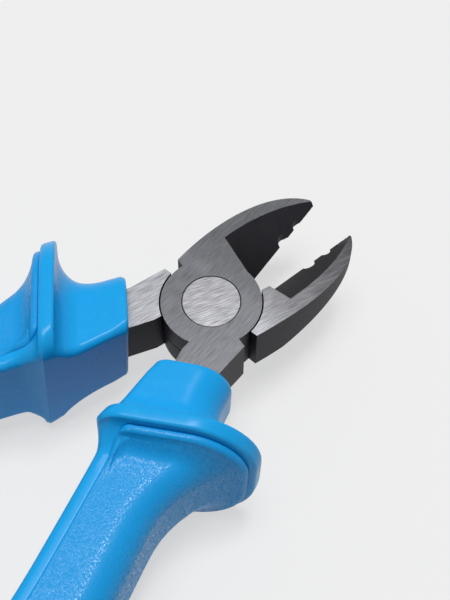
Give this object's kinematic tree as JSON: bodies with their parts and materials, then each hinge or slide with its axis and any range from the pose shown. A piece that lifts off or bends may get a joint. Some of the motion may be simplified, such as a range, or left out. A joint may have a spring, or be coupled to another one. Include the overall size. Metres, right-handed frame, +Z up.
{
  "type": "wire stripping side cutters",
  "caption": "Side cutters with stripping notches in the cutting edges, a flush riveted lap joint and guarded blue grips with textured covers, held partly open.",
  "frame": {"origin": "centre of the rivet's lower face, on the pivot axis and level with the head's back face", "axes": "+Z up along the pivot axis towards the ground front face, +Y along the tool towards the jaw tips, +X towards the rear lever's jaw"},
  "size_m": [0.0968, 0.1499, 0.0316],
  "materials": {
    "lever_steel": "blackened, top faces ground to a satin grey",
    "rivet_steel": "ground flush, fine straight scratches",
    "smooth_plastic": "satin moulded blue",
    "textured_plastic": "fine pebbled moulded blue"
  },
  "bodies": {
    "rear_half": {"rear_lever": "lever_steel", "pivot_rivet": "rivet_steel", "rear_grip_core": "smooth_plastic", "rear_grip_cover": "textured_plastic"},
    "front_half": {"front_lever": "lever_steel", "front_grip_core": "smooth_plastic", "front_grip_cover": "textured_plastic"}
  },
  "joints": [
    {"name": "pivot", "type": "hinge", "parent": "rear_half", "child": "front_half", "pos_m": [0, 0, 0], "axis": [0, 0, 1], "range_deg": [-17.2, 14]}
  ]
}
